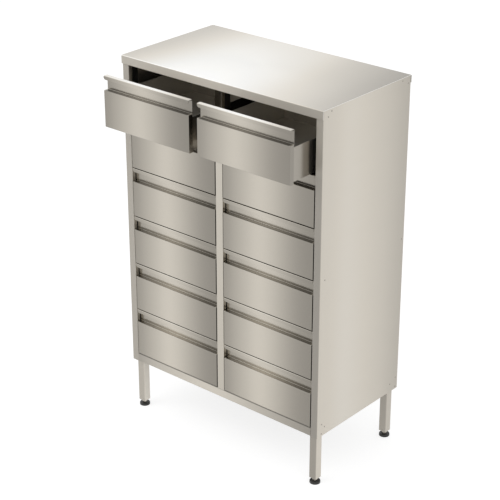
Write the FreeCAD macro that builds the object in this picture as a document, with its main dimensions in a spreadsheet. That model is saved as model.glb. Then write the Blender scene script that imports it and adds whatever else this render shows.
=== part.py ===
"""Reagent drawer cabinet in folded stainless steel: twelve drawers in two columns on telescopic
slides, a folded lid and carcass, and four square legs on levelling feet.

Frame: +X to the right seen from the front, +Y to the back, +Z up, millimetres.  The origin lies
on the floor at the middle of the footprint, which takes in the two top drawers standing open.
"""
import FreeCAD, Part
import os
import re
import Sketcher

ROWS = 6
COLUMNS = {"left": -1, "right": 1}
NEAR = 0.01
CORNERS = {
    "front_left": (-1, "front"),
    "front_right": (1, "front"),
    "back_left": (-1, "back"),
    "back_right": (1, "back"),
}

# Driving dimensions: name, size in millimetres, what it measures.
SIZES = [
    ("lid_width", 800, "overall width"),
    ("lid_depth", 431, "overall depth with the drawers shut"),
    ("lid_overhang", 3.5, "lid beyond the carcass at the front and back"),
    ("lid_end", 0.7, "lid beyond the carcass at each side"),
    ("lid_gauge", 1.5, "sheet of the lid"),
    ("lid_front_flange", 27, "height of the lid's front edge"),
    ("lid_back_flange", 25, "height of the lid's back edge"),
    ("carcass_gauge", 1.2, "sheet of the carcass"),
    ("bend_radius", 1.2, "inner radius of the carcass and drawer bends"),
    ("stile_reach", 27, "lid's end to the edge of the drawer opening"),
    ("stile_return", 14, "depth of the folds beside and below the openings"),
    ("mullion_width", 28, "post between the two columns"),
    ("bottom_rail", 29, "height of the rail below the drawers"),
    ("top_hem", 20, "inward fold along the top of each side panel"),
    ("back_flange", 20, "forward fold at each side of the back panel"),
    ("floor_gap", 180.5, "floor to the underside of the carcass"),
    ("row_pitch", 169.6, "drawer to drawer"),
    ("head_room", 6, "topmost row to the foot of the lid's front edge"),
    ("row_gap", 2.4, "clear gap between one drawer front and the next"),
    ("side_gap", 2.5, "clear gap at each end of a drawer front"),
    ("open_pull", 112, "how far the two top drawers stand open"),
    ("front_gauge", 1.2, "sheet of the drawer fronts"),
    ("panel_height", 120.8, "main face of a drawer front, up to its ledge"),
    ("grip_depth", 16, "ledge of the finger grip, front to back"),
    ("lip_drop", 12, "down-turned edge of the pull lip"),
    ("lip_corner", 8, "rounding of the down-turned edge's ends"),
    ("front_hem", 12, "fold along the foot of a drawer front"),
    ("box_gauge", 1, "sheet of the drawer boxes"),
    ("box_space", 12.7, "gap beside a drawer box"),
    ("box_tail", 17.2, "drawer box beyond the rear end of its slides"),
    ("box_drop", 14, "ledge of the drawer front to the top of the box's sides"),
    ("box_lift", 1.5, "foot of the box above the foot of its front"),
    ("nose_drop", 5.5, "foot of the pull lip to the top of the box's front wall"),
    ("skirt", 15, "side of the box below its floor, which hides the slides"),
    ("slide_setback", 22, "front of the slides behind the carcass face"),
    ("slide_rear_space", 50, "rear end of the slides to the carcass back"),
    ("skirt_gap", 3.3, "skirt of the box to the channel of the slide"),
    ("slide_width", 25, "width of that channel"),
    ("slide_gauge", 1.2, "sheet of the slide members"),
    ("slide_clearance", 0.3, "play between nested slide members"),
    ("skirt_clearance", 2.5, "skirt above the wing of the fixed slide member"),
    ("slide_headroom", 3, "slide channel below the box's floor"),
    ("upright_depth", 25, "front to back of each upright"),
    ("upright_gauge", 1.5, "sheet of the uprights"),
    ("upright_gap", 0.5, "front uprights behind those folds"),
    ("upright_overlap", 19.5, "rear end of the slides on the rear uprights"),
    ("leg_size", 28, "square tube of the legs"),
    ("leg_gauge", 1.5, "wall of the leg tube"),
    ("leg_corner", 3, "outer corner radius of the leg tube"),
    ("leg_inset", 11.5, "leg inside the carcass front and back"),
    ("leg_side_inset", 10, "leg inside the carcass sides"),
    ("leg_clearance", 0.2, "hole in the bottom panel round a leg"),
    ("leg_lift", 20, "floor to the open end of the leg tube"),
    ("socket_wall", 3, "wall of the sockets that hold the legs"),
    ("socket_height", 22.8, "height of the sockets above the bottom panel"),
    ("plug_height", 30, "threaded plug in the end of each leg"),
    ("foot_radius", 17.5, "base of a levelling foot"),
    ("foot_height", 8, "height of that base"),
    ("foot_rim", 2.5, "rounding of the base's upper rim"),
    ("nut_radius", 9, "nut fixed on the foot's stem"),
    ("nut_height", 7, "height of that nut"),
    ("nut_taper", 3, "height of the nut's tapered foot"),
    ("nut_lift", 1.5, "nut above the base"),
    ("stem_radius", 5, "threaded stem of the foot"),
    ("stem_length", 58, "stem above the base"),
    ("thread_clearance", 0.05, "stem to plug, on the radius"),
    ("rivet_radius", 2.5, "rivet head"),
    ("rivet_height", 0.9, "rivet head"),
    ("rivet_setback", 22.5, "column of rivets from the carcass face"),
    ("rivet_edge", 10.5, "column of rivets from the carcass back"),
    ("rivet_shift", 15, "rivets of the hems beside those columns"),
    ("rivet_hem_drop", 10, "rivets of the top hem below the lid's top"),
    ("rivet_head_drop", 24, "highest rivets of the columns below the lid's top"),
    ("rivet_foot_rise", 8, "lowest rivets of the columns above the carcass foot"),
    ("rivet_hem_rise", 28, "rivets of the bottom flange above the carcass foot"),
    ("rivet_rail_rise", 42, "rivets of the columns above those"),
]

# Dimensions that follow from the driving ones.
DERIVED = {
    "lid_front": "(open_pull - lid_overhang - lid_depth) / 2",
    "lid_back": "lid_front + lid_depth",
    "face": "lid_front + lid_overhang",
    "back": "lid_back - lid_overhang",
    "body_half": "lid_width / 2 - lid_end",
    "inner_half": "body_half - carcass_gauge",
    "opening_half": "lid_width / 2 - stile_reach",
    "mullion_half": "mullion_width / 2",
    "opening_width": "opening_half - mullion_half",
    "column_x": "mullion_half + opening_width / 2",
    "opening_foot": "floor_gap + bottom_rail",
    "opening_head": "opening_foot + %d * row_pitch" % ROWS,
    "lid_top": "opening_head + head_room + lid_front_flange",
    "lid_under": "lid_top - lid_gauge",
    "pan_top": "floor_gap + carcass_gauge",
    "outer_bend": "bend_radius + carcass_gauge",
    "lid_bend": "lid_overhang - lid_gauge",
    "upright_setback": "stile_return + upright_gap",
    "front_width": "opening_width - 2 * side_gap",
    "front_height": "row_pitch - row_gap",
    "front_bend": "bend_radius + front_gauge",
    "nose_y": "grip_depth + front_gauge",
    "lip_foot": "front_height - lip_drop",
    "box_width": "opening_width - 2 * box_space",
    "box_height": "panel_height - box_drop - box_lift",
    "nose_height": "lip_foot - nose_drop - box_lift",
    "floor_foot": "box_lift + skirt",
    "slide_length": "back - face - slide_setback - slide_rear_space",
    "slide_offset": "box_space + box_gauge + skirt_gap",
    "box_length": "slide_setback + slide_length + box_tail - nose_y",
    "rear_setback": "slide_setback + slide_length - upright_overlap",
    "channel_floor": "box_lift - skirt_clearance",
    "channel_top": "floor_foot - slide_headroom",
    "middle_width": "slide_width - 2 * slide_gauge - 2 * slide_clearance",
    "runner_width": "middle_width - 2 * slide_gauge - 2 * slide_clearance",
    "channel_x": "opening_width / 2 - slide_offset - slide_width / 2",
    "leg_top": "pan_top + socket_height",
    "leg_x": "body_half - leg_side_inset - leg_size / 2",
    "leg_y_front": "face + leg_inset + leg_size / 2",
    "leg_y_back": "back - leg_inset - leg_size / 2",
    "plug_width": "leg_size - 2 * leg_gauge",
    "nut_foot": "foot_height + nut_lift",
    "nut_top": "nut_foot + nut_height",
    "rivet_ball": "(rivet_radius ^ 2 + rivet_height ^ 2) / (2 * rivet_height)",
}

doc = FreeCAD.newDocument("drawer_cabinet")
sheet = doc.addObject("Spreadsheet::Sheet", "sizes")
for line, (alias, size, note) in enumerate(SIZES, 1):
    sheet.set("A%d" % line, alias)
    sheet.set("B%d" % line, str(size))
    sheet.set("C%d" % line, note)
    sheet.setAlias("B%d" % line, alias)
doc.recompute()
DRIVING = {alias for alias, size, note in SIZES}
parts = []


def bound(text):
    """The text as an expression, with each name led by the object that holds it."""
    def lead(found):
        word = found.group()
        if word in DERIVED:
            return "places." + word
        return "sizes." + word if word in DRIVING else word
    return re.sub("[a-z_]+", lead, text)


places = doc.addObject("App::VarSet", "places")
for name, text in DERIVED.items():
    places.addProperty("App::PropertyFloat", name, "Places")
    places.setExpression(name, bound(text))
doc.recompute()
gauge = doc.addObject("App::VarSet", "gauge")
gauge.addProperty("App::PropertyFloat", "reading", "Gauge", "the value asked for last")


def value(text):
    """The present value of an expression."""
    gauge.setExpression("reading", bound(text))
    gauge.recompute()
    return gauge.reading


def move(item, x="0", y="0", z="0"):
    """Bind an object's place to the sheet."""
    for axis, text in zip("xyz", (x, y, z)):
        item.setExpression("Placement.Base." + axis, bound(text))
    return item


# ---- Part primitives -------------------------------------------------------------------------

def block(name, x, y, z, across, deep, high):
    """A box centred on x across, from y to the back and from z up."""
    item = doc.addObject("Part::Box", name)
    for side, text in zip(("Length", "Width", "Height"), (across, deep, high)):
        item.setExpression(side, bound(text))
    return move(item, "%s - (%s) / 2" % (x, across), y, z)


def round_bar(name, radius, z, high):
    """An upright cylinder on the Z axis, from z up."""
    item = doc.addObject("Part::Cylinder", name)
    item.setExpression("Radius", bound(radius))
    item.setExpression("Height", bound(high))
    return move(item, z=z)


def cut(name, base, tool):
    item = doc.addObject("Part::Cut", name)
    item.Base = base
    item.Tool = tool
    return item


def fuse(name, pieces):
    item = doc.addObject("Part::MultiFuse", name)
    item.Shapes = pieces
    item.Refine = True
    return item


def group(name, pieces):
    """Separate solids kept together, or one more copy of a piece that stands elsewhere."""
    item = doc.addObject("Part::Compound", name)
    item.Links = pieces
    return item


def mirrored(name, source):
    """The piece on the other side of the cabinet's middle."""
    item = doc.addObject("Part::Mirroring", name)
    item.Source = source
    item.Normal = FreeCAD.Vector(1, 0, 0)
    return item


def keep(item):
    """Keep a finished sub-part, whose label names its file."""
    parts.append(item)


# ---- Folded sheet: sketched sections, padded and bent ----------------------------------------

def outline(body, name, plane, points, rise="0"):
    """A closed sketch whose corners are all bound to the sheet, on one of the body's planes."""
    sketch = body.newObject("Sketcher::SketchObject", name)
    origin = [item for item in body.Origin.OriginFeatures if item.Role == plane + "_Plane"]
    sketch.AttachmentSupport = [(origin[0], "")]
    sketch.MapMode = "FlatFace"
    sketch.setExpression("AttachmentOffset.Base.z", bound(rise))
    spots = [FreeCAD.Vector(value(u), value(v), 0) for u, v in points]
    for index, spot in enumerate(spots):
        sketch.addGeometry(Part.LineSegment(spot, spots[(index + 1) % len(spots)]), False)
    for index in range(len(spots)):
        joint = Sketcher.Constraint("Coincident", index, 2, (index + 1) % len(spots), 1)
        sketch.addConstraint(joint)
    for index, (texts, spot) in enumerate(zip(points, spots)):
        for kind, text, here in zip(("DistanceX", "DistanceY"), texts, spot):
            rule = sketch.addConstraint(Sketcher.Constraint(kind, -1, 1, index, 1, here))
            sketch.setExpression("Constraints[%d]" % rule, bound(text))
    return sketch


def rectangle(low, high):
    """The corners of a rectangle between two corners."""
    return [low, (high[0], low[1]), high, (low[0], high[1])]


def pad(body, name, plane, points, length, rise="0", middle=False):
    """A sketched section padded along its plane's normal, or both ways from it."""
    item = body.newObject("PartDesign::Pad", name)
    item.Profile = outline(body, name + "_sketch", plane, points, rise)
    item.setExpression("Length", bound(length))
    item.SideType = "Symmetric" if middle else "One side"
    item.Reversed = plane == "XZ"
    return item


def pocket(body, name, plane, points, length, rise="0"):
    """A sketched hole cut towards the plane's normal, which must take material away."""
    before = body.Tip
    doc.recompute()
    item = body.newObject("PartDesign::Pocket", name)
    item.Profile = outline(body, name + "_sketch", plane, points, rise)
    item.setExpression("Length", bound(length))
    item.Reversed = plane != "XZ"
    doc.recompute()
    if not item.Shape.Volume < before.Shape.Volume:
        raise ValueError(name + " cuts nothing")
    return item


def bend(body, name, axis, spots, radius):
    """Round the edges that run along one axis through the given places in the other two."""
    doc.recompute()
    base = body.Tip
    others = [index for index in range(3) if index != "XYZ".index(axis)]
    wanted = [[value(text) for text in spot] for spot in spots]
    found = []
    for number, edge in enumerate(base.Shape.Edges, 1):
        ends = [vertex.Point for vertex in edge.Vertexes]
        for spot in wanted:
            gaps = [abs(end[i] - there) for end in ends for i, there in zip(others, spot)]
            if len(ends) == 2 and max(gaps) < NEAR:
                found.append("Edge%d" % number)
    item = body.newObject("PartDesign::Fillet", name)
    item.Base = (base, found)
    item.setExpression("Radius", bound(radius))
    return item


# ---- Lid and carcass -------------------------------------------------------------------------

def top_lid():
    """The lid: a top sheet with a flange folded down along the front and the back."""
    body = doc.addObject("PartDesign::Body", "top_lid")
    front_foot = "lid_top - lid_front_flange"
    back_foot = "lid_top - lid_back_flange"
    inner_front = "lid_front + lid_gauge"
    inner_back = "lid_back - lid_gauge"
    pad(body, "lid_sheet", "YZ", [
        ("lid_front", front_foot),
        ("lid_front", "lid_top"),
        ("lid_back", "lid_top"),
        ("lid_back", back_foot),
        (inner_back, back_foot),
        (inner_back, "lid_under"),
        (inner_front, "lid_under"),
        (inner_front, front_foot),
    ], "lid_width", middle=True)
    bend(body, "lid_inner_bends", "X", [(inner_front, "lid_under"), (inner_back, "lid_under")],
         "lid_bend")
    bend(body, "lid_outer_bends", "X", [("lid_front", "lid_top"), ("lid_back", "lid_top")],
         "lid_bend + lid_gauge")
    keep(body)


def side_panels():
    """Each side panel is one sheet, folded round the front into a stile and in at the top."""
    body = doc.addObject("PartDesign::Body", "right_side_panel")
    high = "lid_under - floor_gap"
    fold_x = "opening_half + carcass_gauge"
    fold_y = "face + carcass_gauge"
    pad(body, "side_sheet", "XY", [
        ("body_half", "back"),
        ("body_half", "face"),
        ("opening_half", "face"),
        ("opening_half", "face + stile_return"),
        (fold_x, "face + stile_return"),
        (fold_x, fold_y),
        ("inner_half", fold_y),
        ("inner_half", "back"),
    ], high, "floor_gap")
    bend(body, "side_inner_bends", "Z", [(fold_x, fold_y), ("inner_half", fold_y)],
         "bend_radius")
    bend(body, "side_outer_bends", "Z", [("opening_half", "face"), ("body_half", "face")],
         "outer_bend")
    pad(body, "side_top_hem", "XY", rectangle(
        ("body_half - top_hem", fold_y), ("inner_half", "back - carcass_gauge"),
    ), "carcass_gauge", "lid_under - carcass_gauge")
    pocket(body, "side_foot_notch", "XY", rectangle(
        ("opening_half - carcass_gauge", "face + outer_bend"),
        (fold_x + " + bend_radius", "face + 2 * stile_return"),
    ), "bottom_rail", "floor_gap")
    keep(body)
    keep(mirrored("left_side_panel", body))


def back_panel():
    """The back: one sheet with a flange folded forward inside each side panel."""
    body = doc.addObject("PartDesign::Body", "back_panel")
    inner_y = "back - carcass_gauge"
    flange_x = "inner_half - carcass_gauge"
    flange_y = "back - back_flange"
    pad(body, "back_sheet", "XY", [
        ("inner_half", "back"),
        ("inner_half", flange_y),
        (flange_x, flange_y),
        (flange_x, inner_y),
        ("-(%s)" % flange_x, inner_y),
        ("-(%s)" % flange_x, flange_y),
        ("-inner_half", flange_y),
        ("-inner_half", "back"),
    ], "lid_under - carcass_gauge - pan_top", "pan_top")
    bend(body, "back_inner_bends", "Z", [(flange_x, inner_y), ("-(%s)" % flange_x, inner_y)],
         "bend_radius")
    bend(body, "back_outer_bends", "Z", [("inner_half", "back"), ("-inner_half", "back")],
         "outer_bend")
    keep(body)


def bottom_panel():
    """The bottom: a pan whose front edge folds up into the rail below the drawers."""
    body = doc.addObject("PartDesign::Body", "bottom_panel")
    fold_y = "face + carcass_gauge"
    hem_foot = "opening_foot - carcass_gauge"
    pad(body, "bottom_sheet", "YZ", [
        ("face", "floor_gap"),
        ("back", "floor_gap"),
        ("back", "pan_top"),
        (fold_y, "pan_top"),
        (fold_y, hem_foot),
        ("face + stile_return", hem_foot),
        ("face + stile_return", "opening_foot"),
        ("face", "opening_foot"),
    ], "2 * opening_half", middle=True)
    bend(body, "bottom_inner_bends", "X", [(fold_y, "pan_top"), (fold_y, hem_foot)],
         "bend_radius")
    bend(body, "bottom_outer_bends", "X", [("face", "floor_gap"), ("face", "opening_foot")],
         "outer_bend")
    for side in ("", "-"):
        pad(body, "bottom_wing" + side, "XY", rectangle(
            (side + "opening_half", "face + outer_bend"), (side + "inner_half", "back"),
        ), "carcass_gauge", "floor_gap")
        pad(body, "bottom_flange" + side, "XY", rectangle(
            (side + "inner_half", "face + upright_setback"),
            (side + "(inner_half - carcass_gauge)", "back - back_flange"),
        ), "bottom_rail", "floor_gap")
    reach = "leg_size / 2 + leg_clearance"
    for name, (side, end) in CORNERS.items():
        x = "%d * leg_x" % side
        y = "leg_y_" + end
        pocket(body, "bottom_hole_" + name, "XY", rectangle(
            ("%s - (%s)" % (x, reach), "%s - (%s)" % (y, reach)),
            ("%s + %s" % (x, reach), "%s + %s" % (y, reach)),
        ), "carcass_gauge", "floor_gap")
    keep(body)


def centre_mullion():
    """The post between the columns: a channel that stands on the bottom rail."""
    body = doc.addObject("PartDesign::Body", "centre_mullion")
    fold_x = "mullion_half - carcass_gauge"
    fold_y = "face + carcass_gauge"
    end_y = "face + stile_return"
    pad(body, "mullion_sheet", "XY", [
        ("-mullion_half", end_y),
        ("-mullion_half", "face"),
        ("mullion_half", "face"),
        ("mullion_half", end_y),
        (fold_x, end_y),
        (fold_x, fold_y),
        ("-(%s)" % fold_x, fold_y),
        ("-(%s)" % fold_x, end_y),
    ], "lid_under - opening_foot", "opening_foot")
    bend(body, "mullion_inner_bends", "Z", [(fold_x, fold_y), ("-(%s)" % fold_x, fold_y)],
         "bend_radius")
    bend(body, "mullion_outer_bends", "Z", [("mullion_half", "face"), ("-mullion_half", "face")],
         "outer_bend")
    keep(body)


def slide_uprights():
    """Six posts that carry the slides: channels at the sides, square tube in the middle."""
    side_reach = "inner_half - carcass_gauge - opening_half"
    side_x = "opening_half + (%s) / 2" % side_reach
    wall = "upright_gauge"
    hollow_deep = "upright_depth - 2 * upright_gauge"
    posts = []
    for end, setback, foot in (("front", "upright_setback", "leg_top"),
                               ("rear", "rear_setback", "pan_top")):
        y = "face + " + setback
        side_high = "lid_under - carcass_gauge - (%s)" % foot
        solid = block("side_post_" + end, side_x, y, foot, side_reach, "upright_depth",
                      side_high)
        hollow = block("side_post_hollow_" + end, side_x + " + " + wall, y + " + " + wall, foot,
                       side_reach, hollow_deep, side_high)
        post = cut("side_upright_" + end, solid, hollow)
        posts += [post, mirrored("left_upright_" + end, post)]
        high = "lid_under - pan_top"
        tube = block("middle_post_" + end, "0", y, "pan_top", "mullion_width",
                     "upright_depth", high)
        bore = block("middle_post_hollow_" + end, "0", y + " + " + wall, "pan_top",
                     "mullion_width - 2 * upright_gauge", hollow_deep, high)
        posts.append(cut("middle_upright_" + end, tube, bore))
    keep(group("slide_uprights", posts))


# ---- Drawers and slides ----------------------------------------------------------------------

def drawer_front():
    """A drawer front, folded from one sheet: hem, face, ledge, grip strip, lip and its edge."""
    body = doc.addObject("PartDesign::Body", "front")
    wall = "front_gauge"
    lip_under = "front_height - front_gauge"
    lip_foot = "front_height - lip_drop"
    ledge_under = "panel_height - front_gauge"
    pad(body, "front_sheet", "YZ", [
        ("front_hem", "0"),
        ("0", "0"),
        ("0", "panel_height"),
        ("grip_depth", "panel_height"),
        ("grip_depth", lip_under),
        (wall, lip_under),
        (wall, lip_foot),
        ("0", lip_foot),
        ("0", "front_height"),
        ("nose_y", "front_height"),
        ("nose_y", ledge_under),
        (wall, ledge_under),
        (wall, wall),
        ("front_hem", wall),
    ], "front_width", middle=True)
    for side in ("", "-"):
        edge = side + "front_width / 2"
        pad(body, "front_return" + side, "XY", rectangle(
            (edge, "0"), (side + "(front_width / 2 - front_gauge)", "grip_depth"),
        ), "panel_height")
    bend(body, "front_inner_bends", "X", [
        ("grip_depth", "panel_height"),
        ("grip_depth", lip_under),
        (wall, lip_under),
    ], "bend_radius")
    bend(body, "front_lip_corners", "Y", [
        ("front_width / 2", lip_foot),
        ("-front_width / 2", lip_foot),
    ], "lip_corner")
    bend(body, "front_outer_bends", "X", [
        ("0", "0"),
        ("0", "panel_height"),
        ("0", "front_height"),
        ("nose_y", "front_height"),
        ("nose_y", ledge_under),
    ], "front_bend")
    return body


def slide_section(name, across, foot, head, opening):
    """One slide member: a channel of the given width between two heights, open up or down."""
    solid = block(name + "_solid", "channel_x", "0", foot, across, "slide_length",
                  "%s - (%s)" % (head, foot))
    floor = "slide_gauge" if opening == "up" else "0"
    hollow = block(name + "_hollow", "channel_x", "0", "%s + %s" % (foot, floor),
                   "%s - 2 * slide_gauge" % across, "slide_length",
                   "%s - (%s) - slide_gauge" % (head, foot))
    return cut(name, solid, hollow)


def both_sides(name, piece):
    """The piece and its mirror image, as one object."""
    return group(name, [piece, mirrored(name + "_mirrored", piece)])


def drawer_box():
    """A drawer box: a tray with a raised floor, and the two runners below that floor."""
    wall = "box_gauge"
    inside = "box_width - 2 * box_gauge"
    side_x = "box_width / 2 - box_gauge / 2"
    tray = fuse("tray", [
        block("tray_right", side_x, "nose_y", "box_lift", wall, "box_length", "box_height"),
        block("tray_left", "-(%s)" % side_x, "nose_y", "box_lift", wall, "box_length",
              "box_height"),
        block("tray_floor", "0", "nose_y", "floor_foot", inside, "box_length", wall),
        block("tray_nose", "0", "nose_y", "box_lift", "box_width", wall, "nose_height"),
        block("tray_tail", "0", "nose_y + box_length - box_gauge", "floor_foot", inside, wall,
              "box_height - skirt"),
    ])
    runner_foot = "channel_floor + slide_gauge + 2 * slide_clearance"
    runner = slide_section("runner", "runner_width", runner_foot, "floor_foot", "down")
    runners = move(both_sides("runners", runner), y="slide_setback")
    return group("box_and_runners", [tray, runners])


def middle_members():
    """The middle members of one drawer's two slides, which travel half as far as it does."""
    middle = slide_section("middle", "middle_width", "channel_floor + slide_clearance",
                           "channel_top - slide_clearance", "up")
    return both_sides("middles", middle)


def fixed_members():
    """The fixed members of one drawer's two slides: a channel on a wing from the upright."""
    body = doc.addObject("PartDesign::Body", "fixed_member")
    wall = "slide_gauge"
    side = "opening_width / 2"
    outer = side + " - slide_offset"
    inner = outer + " - slide_width"
    foot = "channel_floor - slide_gauge"
    pad(body, "fixed_sheet", "XZ", [
        (side, foot),
        (side, "channel_top"),
        (side + " - " + wall, "channel_top"),
        (side + " - " + wall, "channel_floor"),
        (outer, "channel_floor"),
        (outer, "channel_top"),
        (outer + " - " + wall, "channel_top"),
        (outer + " - " + wall, "channel_floor"),
        (inner + " + " + wall, "channel_floor"),
        (inner + " + " + wall, "channel_top"),
        (inner, "channel_top"),
        (inner, foot),
    ], "slide_length")
    return both_sides("fixed_pair", body)


def drawers():
    """Twelve drawers, each a front, a box with runners and the middle members of its slides."""
    front = drawer_front()
    box = drawer_box()
    middle = middle_members()
    fixed = fixed_members()
    slide_y = "face + slide_setback"
    for column, side in COLUMNS.items():
        x = "%d * column_x" % side
        rails = []
        for row in range(1, ROWS + 1):
            name = "drawer_%s%d_" % (column[0], row)
            z = "opening_foot + %d * row_pitch + row_gap / 2" % (ROWS - row)
            pull = "open_pull" if row == 1 else "0"
            keep(move(group(name + "front", [front]), x, "face - " + pull, z))
            keep(move(group(name + "box", [box]), x, "face - " + pull, z))
            keep(move(group(name + "middles", [middle]), x, slide_y + " - %s / 2" % pull, z))
            rails.append(move(group(name + "rails", [fixed]), x, slide_y, z))
        keep(group(column + "_column_rails", rails))


# ---- Legs and feet ---------------------------------------------------------------------------

def leg_tube():
    """A leg: square tube, open at both ends, standing on the Z axis."""
    body = doc.addObject("PartDesign::Body", "leg")
    corners = []
    for reach in ("leg_size / 2", "(leg_size / 2 - leg_gauge)"):
        low = "-" + reach
        corners.append(rectangle((low, low), (reach, reach)))
    high = "leg_top - leg_lift"
    pad(body, "leg_solid", "XY", corners[0], high, "leg_lift")
    pocket(body, "leg_bore", "XY", corners[1], high, "leg_lift")
    bend(body, "leg_edges", "Z", corners[0], "leg_corner")
    return body


def leg_socket():
    """A socket that holds a leg's head, standing on the bottom panel."""
    across = "leg_size + 2 * socket_wall"
    solid = block("socket_solid", "0", "-(%s) / 2" % across, "pan_top", across, across,
                  "socket_height")
    hollow = block("socket_hollow", "0", "-leg_size / 2", "pan_top", "leg_size", "leg_size",
                   "socket_height")
    return cut("socket", solid, hollow)


def leg_plug():
    """A threaded plug pressed into a leg's foot."""
    solid = block("plug_solid", "0", "-plug_width / 2", "leg_lift", "plug_width", "plug_width",
                  "plug_height")
    bore = round_bar("plug_bore", "stem_radius + thread_clearance", "leg_lift", "plug_height")
    return cut("plug", solid, bore)


def turned(name, profile):
    """A body turned about the Z axis from half of its section, with X outwards and Y up."""
    body = doc.addObject("PartDesign::Body", name)
    item = body.newObject("PartDesign::Revolution", name + "_turning")
    item.Profile = outline(body, name + "_section", "XZ", profile)
    item.ReferenceAxis = (item.Profile[0], ["V_Axis"])
    item.Angle = 360
    return body


def foot_base():
    """The round base of a levelling foot, with its upper rim rounded."""
    body = turned("foot_base", rectangle(("0", "0"), ("foot_radius", "foot_height")))
    doc.recompute()
    disc = body.Tip
    edges = disc.Shape.Edges
    rim = max(range(len(edges)), key=lambda number: edges[number].BoundBox.ZMin)
    item = body.newObject("PartDesign::Fillet", "foot_rim")
    item.Base = (disc, ["Edge%d" % (rim + 1)])
    item.setExpression("Radius", bound("foot_rim"))
    return body


def foot_stem():
    """The threaded stem of a levelling foot, with a nut that has a tapered foot."""
    return turned("foot_stem", [
        ("0", "foot_height"),
        ("stem_radius", "foot_height"),
        ("stem_radius", "nut_foot"),
        ("nut_radius", "nut_foot + nut_taper"),
        ("nut_radius", "nut_top"),
        ("stem_radius", "nut_top"),
        ("stem_radius", "foot_height + stem_length"),
        ("0", "foot_height + stem_length"),
    ])


def legs_and_feet():
    """The four legs, each with a socket, a plug and a levelling foot."""
    masters = {"leg": leg_tube(), "foot_base": foot_base(), "foot_stem": foot_stem()}
    socket = leg_socket()
    plug = leg_plug()
    sockets = []
    plugs = []
    for name, (side, end) in CORNERS.items():
        x = "%d * leg_x" % side
        y = "leg_y_" + end
        for kind, master in masters.items():
            keep(move(group(name + "_" + kind, [master]), x, y))
        sockets.append(move(group(name + "_socket", [socket]), x, y))
        plugs.append(move(group(name + "_plug", [plug]), x, y))
    keep(group("leg_sockets", sockets))
    keep(group("leg_plugs", plugs))


def side_rivets():
    """Domed rivet heads on both side panels: a column near each edge, and some at the hems."""
    head = doc.addObject("Part::Sphere", "rivet")
    head.setExpression("Radius", bound("rivet_ball"))
    head.setExpression("Angle1", bound("asin((rivet_ball - rivet_height) / rivet_ball)"))
    front = "face + rivet_setback"
    rear = "back - rivet_edge"
    top_hem = "lid_top - rivet_hem_drop"
    bottom_hem = "floor_gap + rivet_hem_rise"
    column = ("floor_gap + rivet_foot_rise", "floor_gap + rivet_rail_rise",
              "(floor_gap + lid_top + rivet_radius) / 2", "lid_top - rivet_head_drop")
    spots = [(y, z) for y in (front, rear) for z in column]
    spots += [("%s + rivet_shift" % front, z) for z in (top_hem, bottom_hem)]
    spots += [("%s - 2 * rivet_shift" % rear, z) for z in (top_hem, bottom_hem)]
    rivets = []
    for side in (1, -1):
        x = "%d * (body_half - (rivet_ball - rivet_height))" % side
        for y, z in spots:
            copy = group("rivet_copy", [head])
            copy.Placement.Rotation = FreeCAD.Rotation(FreeCAD.Vector(0, 1, 0), 90 * side)
            rivets.append(move(copy, x, y, z))
    keep(group("side_rivets", rivets))


def check_and_write():
    """Write every sub-part, once every object in the document has been found sound."""
    doc.recompute()
    for item in doc.Objects:
        if "Invalid" in item.State or "Error" in item.State:
            raise ValueError("%s failed: %s" % (item.Label, item.State))
    for item in parts:
        if item.Shape.isNull() or not item.Shape.isValid() or not item.Shape.Solids:
            raise ValueError(item.Label + " has no sound shape")
    os.makedirs("parts", exist_ok=True)
    for item in parts:
        item.Shape.exportStep("parts/%s.step" % item.Label)
    print("%d sub-parts" % len(parts))


top_lid()
side_panels()
back_panel()
bottom_panel()
centre_mullion()
slide_uprights()
drawers()
legs_and_feet()
side_rivets()
check_and_write()
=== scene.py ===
import math

import bpy
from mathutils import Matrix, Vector


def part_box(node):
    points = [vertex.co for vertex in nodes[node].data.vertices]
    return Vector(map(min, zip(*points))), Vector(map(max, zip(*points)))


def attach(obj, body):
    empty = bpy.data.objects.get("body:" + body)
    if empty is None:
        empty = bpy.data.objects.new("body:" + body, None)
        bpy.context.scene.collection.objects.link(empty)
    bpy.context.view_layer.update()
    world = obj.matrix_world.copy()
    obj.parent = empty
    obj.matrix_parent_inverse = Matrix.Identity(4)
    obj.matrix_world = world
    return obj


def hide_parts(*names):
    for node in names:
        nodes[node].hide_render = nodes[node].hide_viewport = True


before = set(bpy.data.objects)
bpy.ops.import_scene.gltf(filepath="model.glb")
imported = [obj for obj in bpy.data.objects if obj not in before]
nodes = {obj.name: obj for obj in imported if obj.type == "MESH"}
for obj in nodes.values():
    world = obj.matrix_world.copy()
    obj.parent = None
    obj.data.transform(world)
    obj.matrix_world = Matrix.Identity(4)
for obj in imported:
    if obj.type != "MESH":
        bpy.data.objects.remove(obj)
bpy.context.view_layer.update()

# ---- Sizes taken from the frame, in metres ---------------------------------------------------

lid_low, lid_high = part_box("top_lid")
side_low, side_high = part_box("right_side_panel")
front_low, front_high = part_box("drawer_r2_front")
FACE = side_low.y
BACK = side_high.y
FOOT = side_low.z
HEAD = lid_high.z
COLUMN_X = (front_low.x + front_high.x) / 2
FRONT_WIDTH = front_high.x - front_low.x
FRONT_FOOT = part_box("drawer_r6_front")[0].z
ROW_PITCH = front_low.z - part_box("drawer_r3_front")[0].z
FRONT_GAP = 0.0012
RAIL_HEAD = FRONT_FOOT - FRONT_GAP
TOP_ROW = front_low.z + ROW_PITCH
HALF_WIDTH = side_high.x
RAIL_REACH = 0.375
STEEL_WARMTH = (1.093, 1.018, 0.892)
# The tint that painted highlights fade to.
HIGHLIGHT_TINT = (1.0, 0.995, 0.965)
GRAIN_ALONG = 9
GRAIN_ACROSS = 1400
GRAIN_DEPTH = 0.00003


def tone(level):
    """The linear value of a grey given on the scale of 0 to 255."""
    share = level / 255
    return share / 12.92 if share <= 0.04045 else ((share + 0.055) / 1.055) ** 2.4


# ---- Shader maths ----------------------------------------------------------------------------

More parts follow.
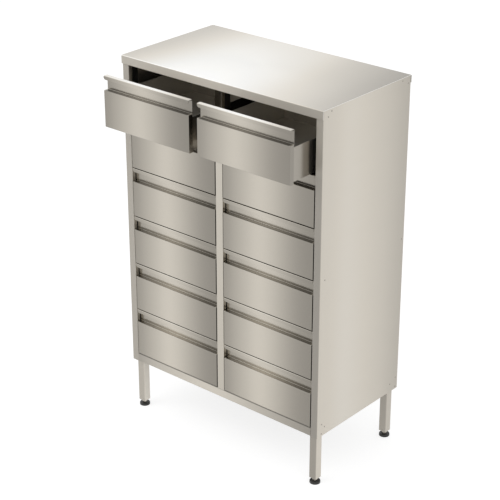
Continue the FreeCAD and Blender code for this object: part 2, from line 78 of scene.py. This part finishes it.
class Value:
    """A socket that Python's operators join with Math nodes."""

    def __init__(self, net, socket):
        self.net = net
        self.socket = socket

    def math(self, operation, *operands):
        inputs = dict(enumerate(operands))
        return self.net.add("ShaderNodeMath", {"operation": operation}, inputs)

    def __add__(self, other):
        return self.math("ADD", self, other)

    __radd__ = __add__

    def __sub__(self, other):
        return self.math("SUBTRACT", self, other)

    def __rsub__(self, other):
        return self.math("SUBTRACT", other, self)

    def __mul__(self, other):
        return self.math("MULTIPLY", self, other)

    __rmul__ = __mul__

    def __truediv__(self, other):
        return self.math("DIVIDE", self, other)

    def __gt__(self, other):
        return self.math("GREATER_THAN", self, other)


class Net:
    """A node tree to which nodes are added one by one."""

    def __init__(self, tree):
        self.tree = tree

    def add(self, kind, settings=None, inputs=None, output=0):
        """One node: its settings first, then the values or links of its sockets."""
        node = self.tree.nodes.new(kind)
        for name, setting in (settings or {}).items():
            if name == "stops":
                self.set_stops(node.color_ramp, setting)
            else:
                setattr(node, name, setting)
        for name, value in (inputs or {}).items():
            if isinstance(value, Value):
                self.tree.links.new(value.socket, node.inputs[name])
            else:
                node.inputs[name].default_value = value
        return Value(self, node.outputs[output])

    def axes(self, vector):
        """The three parts of a vector."""
        return [self.add("ShaderNodeSeparateXYZ", inputs={"Vector": vector}, output=axis)
                for axis in range(3)]

    def join(self, *values):
        """Several geometries as one."""
        node = self.tree.nodes.new("GeometryNodeJoinGeometry")
        for value in reversed(values):
            self.tree.links.new(value.socket, node.inputs[0])
        return Value(self, node.outputs[0])

    def set_stops(self, ramp, stops):
        """Grey stops of a ramp, each a place from 0 to 1 and a value."""
        ramp.interpolation = "B_SPLINE" if len(stops) > 4 else "EASE"
        while len(ramp.elements) < len(stops):
            ramp.elements.new(0.5)
        for element, (place, value) in zip(ramp.elements, stops):
            element.position = place
            element.color = (value, value, value, 1)


class Shader(Net):
    """The nodes of one material or of the world."""

    def __init__(self, owner, output):
        owner.use_nodes = True
        super().__init__(owner.node_tree)
        self.tree.nodes.clear()
        self.end = self.tree.nodes.new(output)

    def finish(self, value, socket="Surface"):
        self.tree.links.new(value.socket, self.end.inputs[socket])

    def place(self):
        """Object coordinates."""
        return self.add("ShaderNodeTexCoord", output="Object")

    def noise(self, place, scale, stretch=(1, 1, 1), detail=2.0):
        """Noise from 0 to 1, drawn out along an axis."""
        stretched = self.add("ShaderNodeVectorMath", {"operation": "MULTIPLY"},
                             {0: place, 1: stretch})
        return self.add("ShaderNodeTexNoise", inputs={
            "Vector": stretched, "Scale": scale, "Detail": detail, "Roughness": 0.6})

    def span(self, value, low, high):
        """Where a value lies between two places, from 0 to 1."""
        return self.add("ShaderNodeMapRange", {"clamp": True}, {
            "Value": value, "From Min": low, "From Max": high})

    def ramp(self, factor, stops):
        """A grey ramp; its levels are on the scale of 0 to 255."""
        return self.add("ShaderNodeValToRGB",
                        {"stops": [(place, tone(level)) for place, level in stops]},
                        {"Fac": factor})

    def tinted(self, grey, tint, pale=0.0):
        """A grey value turned into a colour, whose brightest places, the painted highlights,
        lose their tint.
        """
        pale = self.span(grey, 0.7, 1.0) + pale
        hue = self.add("ShaderNodeMix", {"data_type": "VECTOR", "factor_mode": "UNIFORM"},
                       {"Factor": pale, 4: tint, 5: HIGHLIGHT_TINT}, output=1)
        return self.add("ShaderNodeVectorMath", {"operation": "SCALE"}, {0: hue, "Scale": grey})


class Facing:
    """How a surface faces: three shares along X, Y and Z that add up to one, and whether it
    looks away from the cabinet's middle."""

    def __init__(self, shader):
        parts = shader.axes(shader.add("ShaderNodeTexCoord", output="Normal"))
        self.x, self.y, self.z = [part * part for part in parts]
        self.across = parts[0]

    def outward(self, x):
        """One on faces that look away from the middle, at the distance x from it."""
        return self.across * x > 0


def new_material(name):
    material = bpy.data.materials.new(name)
    return material, Shader(material, "ShaderNodeOutputMaterial")


def even(share):
    """A mirror share that is the same all over."""
    return lambda shader, place, facing: share


def brushed_steel(name, shade, roughness=0.2, warmth=STEEL_WARMTH, brush=0.03, mirror=even(1.0)):
    """Brushed sheet steel.  shade and mirror are functions of the shader, of the place's three
    parts and of how the surface faces; they give the grey of the sheet at each point, which
    carries the painted sheen, highlights and shade, and the share of it that the brushing
    leaves bright."""
    material, shader = new_material(name)
    point = shader.place()
    facing = Facing(shader)
    place = shader.axes(point)
    # The grain runs level: along X on what faces front or up, along Y on the sides.
    lines_x = shader.noise(point, 1, (GRAIN_ALONG, GRAIN_ACROSS, GRAIN_ACROSS))
    lines_y = shader.noise(point, 1, (GRAIN_ACROSS, GRAIN_ALONG, GRAIN_ACROSS))
    fine = lines_x * (1 - facing.x) + lines_y * facing.x
    clouds = shader.noise(point, 7, (1, 1, 2.5), 3)
    grey = shade(shader, place, facing)
    grey = grey * (1 - brush / 2 + fine * brush) * (0.985 + clouds * 0.03)
    bump = shader.add("ShaderNodeBump", inputs={
        "Height": fine, "Strength": 0.12, "Distance": GRAIN_DEPTH})
    # Faces that look up are painted a little paler, as a painted highlight.
    shader.finish(shader.add("ShaderNodeBsdfPrincipled", inputs={
        "Base Color": shader.tinted(grey, warmth, facing.z * 0.2),
        "Metallic": mirror(shader, place, facing),
        "Roughness": roughness - 0.06 + fine * 0.06 + clouds * 0.06,
        "Anisotropic": 0.4,
        "Normal": bump}))
    return material


# ---- Finishes of the sheet-metal pieces, with painted sheen, highlights and shade ------------

# The painted sheen across a drawer front, and the painted highlight along its lip, from left to
# right.
FRONT_SHEEN_STOPS = [(0, 146), (0.12, 165), (0.28, 187), (0.4, 198), (0.5, 192), (0.62, 179),
               (0.76, 157), (0.88, 144), (1, 138)]
LIP_HIGHLIGHT_STOPS = [(0, 224), (0.2, 242), (0.4, 254), (0.55, 254), (0.72, 240), (0.88, 208), (1, 194)]
# Where the ledge's painted shade, its crease's painted glint and the lip's painted highlight
# stand, as shares of a row's height.
LEDGE_RISE = 0.715
CREASE = 0.01
LIP_RISE = 0.93
# Half the thickness of a folded edge.
SHEET_EDGE = 0.0005
# Beside the grip the ledge lies open to the light and is painted light, over this share of the
# front's width.
NOTCH = 0.022
NOTCH_LIGHT_GREY = tone(185)
# The sideways returns are painted a grey of their own, as painted shade.
RETURN_GREY = tone(148)


def front_shade(shader, place, facing):
    """A drawer front in painted light: a painted sheen across its left middle, a painted
    highlight on the lip, and painted shade on the ledge and returns.
    """
    x, y, z = place
    column = x.math("SIGN", x) * COLUMN_X
    across = shader.span(x - column, -FRONT_WIDTH / 2, FRONT_WIDTH / 2)
    # Painted sheen across the front, a little lighter on the lower rows.
    sweep = shader.ramp(across, FRONT_SHEEN_STOPS) * (1.08 - shader.span(z, FOOT, 0.8) * 0.08)
    height = (z - FRONT_FOOT + SHEET_EDGE) / ROW_PITCH
    height = height.math("FRACT", height)
    lip = height > LIP_RISE
    crease = (height > LEDGE_RISE) - (height > LEDGE_RISE + CREASE)
    ends = (1 - shader.span(across, NOTCH / 2, NOTCH)
            + shader.span(across, 1 - NOTCH, 1 - NOTCH / 2))
    # Painted shade in the ledge's recess, deeper on the higher rows; beside the grip the ledge
    # is painted light instead.
    ledge = sweep * (1.04 - z * 0.5) * (1 - ends) + ends * NOTCH_LIGHT_GREY
    # A painted glint along the ledge's crease.
    glint = crease * facing.y * facing.z * 1.5 * sweep
    # The lip's top carries the painted highlight.
    up = ledge * (1 - lip) + lip * shader.ramp(across, LIP_HIGHLIGHT_STOPS)
    # Each facing takes its own painted grey: the sheen in front, the return grey at the sides,
    # the ledge and lip on top.
    return sweep * facing.y + facing.x * RETURN_GREY + up * facing.z + glint


def box_inside(x, facing):
    """One on the inner faces of a drawer box's walls, in either column."""
    return 1 - facing.outward(x - x.math("SIGN", x) * COLUMN_X)


def box_shade(shader, place, facing):
    """A drawer box: a sheet a little greyer than the fronts, with painted shade on its side
    walls and painted light on their inner faces.
    """
    inner = box_inside(place[0], facing)
    # The side walls are painted darker outside and lighter inside, as painted shade and light.
    wall = tone(163) + inner * 0.1
    return facing.y * tone(191) + facing.x * wall + facing.z * tone(189)


def box_mirror(shader, place, facing):
    """The box is brightest brushed outside: its inner faces spread the light."""
    inner = box_inside(place[0], facing)
    return 0.95 - facing.y * 0.35 - facing.x * inner * 0.5 - facing.z * 0.5


LID_BEND = 0.002


def lid_shade(shader, place, facing):
    """The lid: a painted sheen brightest at the left of the middle, with ends painted near white
    and a painted highlight on the front bend.
    """
    x, y, z = place
    across = shader.span(x, lid_low.x, lid_high.x)
    back = shader.span(y, lid_low.y, lid_high.y)
    # Painted sheen on the top: near white at the front, dimmer to the back.
    near = shader.ramp(across, [
        (0, 191), (0.12, 220), (0.25, 250), (0.38, 254), (0.5, 252), (0.63, 240), (0.75, 219),
        (0.88, 203), (1, 179)])
    far = shader.ramp(across, [
        (0, 183), (0.12, 200), (0.25, 223), (0.38, 226), (0.5, 222), (0.63, 215), (0.75, 192),
        (0.88, 177), (1, 151)])
    top = (near + (far - near) * back) * 1.07
    # The front flange's painted sheen, with painted shade just below the bend.
    front = shader.ramp(across, [
        (0, 186), (0.3, 214), (0.5, 220), (0.62, 198), (0.8, 186), (1, 178)])
    front = front * (1 - shader.span(z, HEAD - LID_BEND * 3, HEAD - LID_BEND) * 0.2)
    # A painted highlight along the front bend that fades to the right; the ends are painted near
    # white as a highlight.
    bend = facing.z * facing.y * (1 - across * 0.55)
    return top * facing.z + front * facing.y + facing.x * tone(250) + bend * 1.6


def lid_mirror(shader, place, facing):
    """The lid's top is brighter brushed than its edges."""
    return 0.12 + facing.z * 0.4


def side_shade(shader, place, facing):
    """A side panel: a painted sheen that darkens to the back, and the stile at its front,
    painted lighter near the top row.
    """
    x, y, z = place
    # Painted sheen on the outer face, dimming to the back and a little towards the top.
    outer = shader.ramp(shader.span(y, FACE, BACK), [
        (0, 209), (0.15, 213), (0.28, 221), (0.42, 218), (0.58, 212), (0.75, 204), (0.88, 195),
        (1, 185)])
    outer = outer * (1.06 - shader.span(z, FOOT, HEAD) * 0.05)
    across = shader.span(x, -HALF_WIDTH, HALF_WIDTH)
    # The stile's painted sheen is lighter at the left; near the top row the right stile is
    # painted lighter still, against the shade of the open drawers.
    stile = shader.ramp(across, [(0, 178), (1, 155)])
    upper = shader.span(z, TOP_ROW - 0.21, TOP_ROW + 0.09) * 0.3
    top_row = shader.span(z, TOP_ROW - 0.01, TOP_ROW + 0.01) * 0.12
    stile = stile * (1 + (upper + top_row) * across)
    # The inner face and the top edges take painted greys of their own.
    inner = 1 - facing.outward(x)
    side = outer * (1 - inner) + inner * tone(185)
    return stile * facing.y + side * facing.x + facing.z * tone(200)


def side_mirror(shader, place, facing):
    """The outer face is brighter brushed than the stile; the inner face is left bright."""
    inner = 1 - facing.outward(place[0])
    return 0.12 + facing.x * (0.28 + inner * 0.5)


def mullion_shade(shader, place, facing):
    """The post between the columns, with painted shade on its front in the top row."""
    # Painted shade on the front at the top row, where the open drawers shade it.
    shaded = 1 - shader.span(place[2], TOP_ROW + 0.01, TOP_ROW + 0.04) * 0.5
    return facing.y * tone(191) * shaded + facing.x * tone(190) + facing.z * tone(180)


# The depth of the painted shadow along the rail's upper edge.
EDGE_SHADE = 0.0025


def bottom_shade(shader, place, facing):
    """The bottom rail, with one painted sheen of light across its length and a painted shadow
    along its upper edge.
    """
    x, y, z = place
    rail = shader.ramp(shader.span(x, -RAIL_REACH, RAIL_REACH), [
        (0, 157), (0.12, 199), (0.3, 208), (0.44, 217), (0.56, 208), (0.7, 196), (0.84, 178),
        (1, 150)])
    # Painted shadow under the lowest fronts.
    edge = shader.span(z, RAIL_HEAD - EDGE_SHADE, RAIL_HEAD - SHEET_EDGE)
    rail = rail * (1 - edge * 0.45)
    # The rail's top face is painted dark, as painted shade under the fronts.
    return rail * facing.y + facing.x * tone(180) + facing.z * tone(125)


def back_shade(shader, place, facing):
    """The back panel, seen only from behind, with a painted sheen across it."""
    x, y, z = place
    sheet = shader.ramp(shader.span(x, -HALF_WIDTH, HALF_WIDTH), [
        (0, 178), (0.5, 200), (1, 184)])
    return sheet * facing.y + facing.x * tone(180) + facing.z * tone(190)


def back_mirror(shader, place, facing):
    """The back panel's sheet, a little duller towards the lid."""
    return 1 - shader.span(place[2], TOP_ROW + 0.04, TOP_ROW + 0.14) * 0.2


def leg_shade(shader, place, facing):
    """The legs, in painted light and shade: the right pair is greyer in front, the front pair
    brighter at the side.
    """
    x, y, z = place
    back = shader.span(y, FACE, BACK)
    across = shader.span(x, -HALF_WIDTH, HALF_WIDTH)
    front = shader.ramp(across, [(0, 182), (1, 159)]) * (1 + back * 0.3)
    side = shader.ramp(back, [(0, 214), (1, 198)]) * (1.12 - (across > 0.5) * 0.12)
    return front * facing.y + side * facing.x + facing.z * tone(170)


def inner_shade(shader, place, facing):
    """Uprights and slides: zinc-plated steel, painted darkest on the faces that look sideways,
    as painted shade inside the cabinet.
    """
    return facing.y * tone(130) + facing.x * tone(80) + facing.z * tone(120)


def rivet_shade(shader, place, facing):
    """Rivet heads: painted greyer than the sheet round them, with their outward-facing crowns
    lighter, as painted shade on the domes.
    """
    return 0.1 + facing.x * tone(150)


def stem_shade(shader, place, facing):
    """Turned steel of the feet, painted a little darker on the faces that look front or back, as
    painted shade.
    """
    return facing.y * tone(180) + facing.x * tone(190) + facing.z * tone(200)


ZINC = (0.98, 1.0, 1.03)
finishes = {
    "top_lid": brushed_steel("lid_steel", lid_shade, 0.35, mirror=lid_mirror),
    "left_side_panel": brushed_steel("side_steel", side_shade, 0.35, mirror=side_mirror),
    "centre_mullion": brushed_steel("mullion_steel", mullion_shade, 0.16),
    "bottom_panel": brushed_steel("bottom_steel", bottom_shade, 0.35, mirror=even(0.4)),
    "back_panel": brushed_steel("back_steel", back_shade, mirror=back_mirror),
}
finishes["right_side_panel"] = finishes["left_side_panel"]
front_steel = brushed_steel("drawer_front_steel", front_shade)
box_steel = brushed_steel("drawer_box_steel", box_shade, mirror=box_mirror)
leg_steel = brushed_steel("leg_steel", leg_shade, 0.3, mirror=even(0.6))
rivet_steel = brushed_steel("rivet_steel", rivet_shade, 0.35)
stem_steel = brushed_steel("stem_steel", stem_shade, 0.3, mirror=even(0.7))
zinc_steel = brushed_steel("zinc_plated_steel", inner_shade, roughness=0.3, warmth=ZINC)


def black_plastic():
    """Moulded black plastic with a fine grain."""
    material, shader = new_material("foot_plastic")
    grain = shader.noise(shader.place(), 2500)
    bump = shader.add("ShaderNodeBump", inputs={
        "Height": grain, "Strength": 0.3, "Distance": 0.0001})
    shader.finish(shader.add("ShaderNodeBsdfPrincipled", inputs={
        "Base Color": shader.tinted(0.026 + grain * 0.012, (1.0, 1.0, 0.93)),
        "Roughness": 0.42 + grain * 0.1,
        "Normal": bump}))
    return material


foot_plastic = black_plastic()


def finish_of(name):
    """The finish of a node of the frame."""
    if name in finishes:
        return finishes[name]
    if name.endswith("_front"):
        return front_steel
    if name.endswith("_box"):
        return box_steel
    if name.endswith("_leg"):
        return leg_steel
    return foot_plastic if name.endswith("_foot_base") else zinc_steel


for name, node in nodes.items():
    node.data.materials.clear()
    node.data.materials.append(finish_of(name))


# ---- Rivets and threaded feet ----------------------------------------------------------------

class Grower(Net):
    """A Geometry Nodes tree with named sizes, grown over points into plain meshes."""

    def __init__(self, name, sizes):
        super().__init__(bpy.data.node_groups.new(name, "GeometryNodeTree"))
        interface = self.tree.interface
        interface.new_socket("Points", in_out="INPUT", socket_type="NodeSocketGeometry")
        for size in sizes:
            interface.new_socket(size, in_out="INPUT", socket_type="NodeSocketFloat")
        interface.new_socket("Mesh", in_out="OUTPUT", socket_type="NodeSocketGeometry")
        self.source = self.tree.nodes.new("NodeGroupInput")
        self.end = self.tree.nodes.new("NodeGroupOutput")
        self.sizes = sizes

    def __getitem__(self, name):
        return Value(self, self.source.outputs[name])

    def vector(self, x, y, z):
        return self.add("ShaderNodeCombineXYZ", inputs={0: x, 1: y, 2: z})

    def raised(self, geometry, height):
        """The geometry, lifted by a height."""
        return self.add("GeometryNodeTransform", inputs={
            "Geometry": geometry, "Translation": self.vector(0.0, 0.0, height)})

    def finish(self, geometry, material):
        real = self.add("GeometryNodeRealizeInstances", inputs={"Geometry": geometry})
        done = self.add("GeometryNodeSetMaterial", inputs={
            "Geometry": real, "Material": material})
        self.tree.links.new(done.socket, self.end.inputs["Mesh"])

    def grow(self, name, points):
        """One object with the tree's mesh over the given points."""
        seeds = bpy.data.meshes.new(name + "_seeds")
        seeds.from_pydata(points, [], [])
        grown = bpy.data.objects.new(name, seeds)
        bpy.context.scene.collection.objects.link(grown)
        modifier = grown.modifiers.new("grow", "NODES")
        modifier.node_group = self.tree
        for item in self.tree.interface.items_tree:
            if item.in_out == "INPUT" and item.name in self.sizes:
                modifier[item.identifier] = self.sizes[item.name]
        depsgraph = bpy.context.evaluated_depsgraph_get()
        mesh = bpy.data.meshes.new_from_object(grown.evaluated_get(depsgraph))
        grown.modifiers.clear()
        grown.data = mesh
        bpy.data.meshes.remove(seeds)
        return grown


RIVET_REACH = 0.006
RIVET_SEAT = 0.00005


def rivet_seats():
    """The middle of each rivet head's foot, on the side panels."""
    seats = []
    for vertex in nodes["side_rivets"].data.vertices:
        spot = vertex.co
        group = next((seat for seat in seats if (seat[0] - spot).length < RIVET_REACH), None)
        if group is None:
            seats.append([spot.copy()])
        else:
            group.append(spot)
    middle_y = [(min(v.y for v in seat) + max(v.y for v in seat)) / 2 for seat in seats]
    middle_z = [(min(v.z for v in seat) + max(v.z for v in seat)) / 2 for seat in seats]
    return [(math.copysign(side_high.x, seat[0].x), y, z)
            for seat, y, z in zip(seats, middle_y, middle_z)]


def set_rivets():
    """Domed rivet heads with the end of the pin in their middle."""
    tree = Grower("rivets", {"Radius": 0.0025, "Height": 0.0009, "Pin": 0.0008})
    dome = tree.add("GeometryNodeMeshUVSphere", inputs={
        "Segments": 24, "Rings": 12, "Radius": tree["Radius"]})
    dome = tree.add("GeometryNodeTransform", inputs={
        "Geometry": dome,
        "Scale": tree.vector(1.0, 1.0, (tree["Height"] - RIVET_SEAT) / tree["Radius"])})
    pin = tree.add("GeometryNodeMeshCylinder", inputs={
        "Vertices": 16, "Radius": tree["Pin"], "Depth": tree["Height"]})
    head = tree.join(dome, tree.raised(pin, tree["Height"] / 2))
    across = tree.axes(tree.add("GeometryNodeInputPosition"))[0]
    outward = tree.vector(across.math("SIGN", across), 0.0, 0.0)
    turn = tree.add("FunctionNodeAlignRotationToVector", {"axis": "Z"}, {"Vector": outward})
    placed = tree.add("GeometryNodeInstanceOnPoints", inputs={
        "Points": tree["Points"], "Instance": head, "Rotation": turn})
    tree.finish(placed, rivet_steel)
    rivets = tree.grow("side_rivet_heads", rivet_seats())
    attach(rivets, "cabinet")
    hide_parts("side_rivets")


def cut_threads():
    """The stem of each levelling foot: a thread, and a hexagon nut with a tapered foot."""
    stem_low, stem_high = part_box("front_left_foot_stem")
    base_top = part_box("front_left_foot_base")[1].z
    tree = Grower("thread", {
        "Length": stem_high.z - base_top, "Radius": 0.005, "Pitch": 0.0015, "Depth": 0.0005,
        "Nut Radius": (stem_high.x - stem_low.x) / 2, "Nut Height": 0.004,
        "Nut Taper": 0.003, "Nut Lift": 0.0015})
    length = tree["Length"]
    core_radius = tree["Radius"] - tree["Depth"]
    core = tree.raised(tree.add("GeometryNodeMeshCylinder", inputs={
        "Vertices": 32, "Radius": core_radius, "Depth": length}), length / 2)
    path = tree.add("GeometryNodeCurveSpiral", inputs={
        "Resolution": 24, "Rotations": (length - tree["Pitch"]) / tree["Pitch"],
        "Start Radius": core_radius, "End Radius": core_radius,
        "Height": length - tree["Pitch"]})
    ridge = tree.add("GeometryNodeCurvePrimitiveCircle", inputs={
        "Resolution": 4, "Radius": tree["Depth"]})
    thread = tree.raised(tree.add("GeometryNodeCurveToMesh", inputs={
        "Curve": path, "Profile Curve": ridge, "Fill Caps": True}), tree["Pitch"] / 2)
    taper = tree.raised(tree.add("GeometryNodeMeshCone", inputs={
        "Vertices": 6, "Radius Top": tree["Nut Radius"], "Radius Bottom": tree["Radius"],
        "Depth": tree["Nut Taper"]}), tree["Nut Lift"])
    flats = tree.raised(tree.add("GeometryNodeMeshCylinder", inputs={
        "Vertices": 6, "Radius": tree["Nut Radius"], "Depth": tree["Nut Height"]}),
        tree["Nut Lift"] + tree["Nut Taper"] + tree["Nut Height"] / 2)
    stem = tree.join(core, thread, taper, flats)
    tree.finish(tree.add("GeometryNodeInstanceOnPoints", inputs={
        "Points": tree["Points"], "Instance": stem}), stem_steel)
    for corner in ("front_left", "front_right", "back_left", "back_right"):
        low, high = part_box(corner + "_foot_stem")
        foot = ((low.x + high.x) / 2, (low.y + high.y) / 2, base_top)
        stem = tree.grow(corner + "_foot_thread", [foot])
        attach(stem, corner + "_foot")
        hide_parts(corner + "_foot_stem")


set_rivets()
cut_threads()


# ---- Floor, light and camera -----------------------------------------------------------------

def seen_directly(shader, eye=1.0):
    """One for rays that a mirror or glass sends on, and the eye's share for those from it."""
    path = shader.add("ShaderNodeLightPath", output="Is Camera Ray")
    glossy = shader.add("ShaderNodeLightPath", output="Is Glossy Ray")
    through = shader.add("ShaderNodeLightPath", output="Is Transmission Ray")
    return path * eye + path.math("MINIMUM", glossy + through, 1.0)


FLOOR_REACH = 30
FLOOR_GREY = 0.4
FLOOR_LIFT = 0.43
FLOOR_GLOW = 0.17
FLOOR_SEEN = 1.35
SKY_LIGHT = 0.75
SKY_SEEN = 0.25
AIM_HEIGHT = 0.6
CAMERA_PLACE = (2.91004, -3.40916, 2.73380)
CAMERA_AZIMUTH = 0.7082
CAMERA_ELEVATION = 0.4347
CAMERA_LENS = 111.038
CAMERA_SIGHT = 100


def lay_floor():
    """A wide pale floor that keeps the cabinet's soft shadow."""
    corners = [(-FLOOR_REACH, -FLOOR_REACH, 0), (FLOOR_REACH, -FLOOR_REACH, 0),
               (FLOOR_REACH, FLOOR_REACH, 0), (-FLOOR_REACH, FLOOR_REACH, 0)]
    mesh = bpy.data.meshes.new("floor")
    mesh.from_pydata(corners, [], [(0, 1, 2, 3)])
    floor = bpy.data.objects.new("floor", mesh)
    bpy.context.scene.collection.objects.link(floor)
    material, shader = new_material("floor_white")
    pale = shader.add("ShaderNodeBsdfDiffuse", inputs={
        "Color": (FLOOR_GREY, FLOOR_GREY, FLOOR_GREY, 1)})
    glow = shader.add("ShaderNodeEmission", inputs={
        "Strength": FLOOR_GLOW + seen_directly(shader, FLOOR_SEEN) * FLOOR_LIFT})
    shader.finish(shader.add("ShaderNodeAddShader", inputs={0: pale, 1: glow}))
    mesh.materials.append(material)


def light_world():
    """An even studio: white where it is seen, plain grey light where it only lights."""
    world = bpy.data.worlds.new("studio")
    bpy.context.scene.world = world
    shader = Shader(world, "ShaderNodeOutputWorld")
    strength = SKY_LIGHT + seen_directly(shader) * SKY_SEEN
    shader.finish(shader.add("ShaderNodeBackground", inputs={
        "Color": (1, 1, 1, 1), "Strength": strength}))


def add_lamp(name, place, size, power):
    """A square soft lamp aimed at the cabinet's middle."""
    lamp = bpy.data.lights.new(name, "AREA")
    lamp.size = size
    lamp.energy = power
    holder = bpy.data.objects.new(name, lamp)
    bpy.context.scene.collection.objects.link(holder)
    holder.location = place
    aim = Vector((0, 0, AIM_HEIGHT)) - holder.location
    holder.rotation_euler = aim.to_track_quat("-Z", "Y").to_euler()
    holder.visible_glossy = False


lay_floor()
light_world()
add_lamp("key_lamp", (-1.8, -2.6, 3.2), 2.5, 34)
add_lamp("fill_lamp", (2.8, -1.6, 2.4), 2.5, 16)

camera = bpy.data.objects.new("camera", bpy.data.cameras.new("camera"))
camera.data.lens = CAMERA_LENS
camera.data.clip_end = CAMERA_SIGHT
camera.location = CAMERA_PLACE
camera.rotation_euler = (math.pi / 2 - CAMERA_ELEVATION, 0, CAMERA_AZIMUTH)
bpy.context.scene.collection.objects.link(camera)
bpy.context.scene.camera = camera
bpy.context.scene.view_settings.view_transform = "Standard"
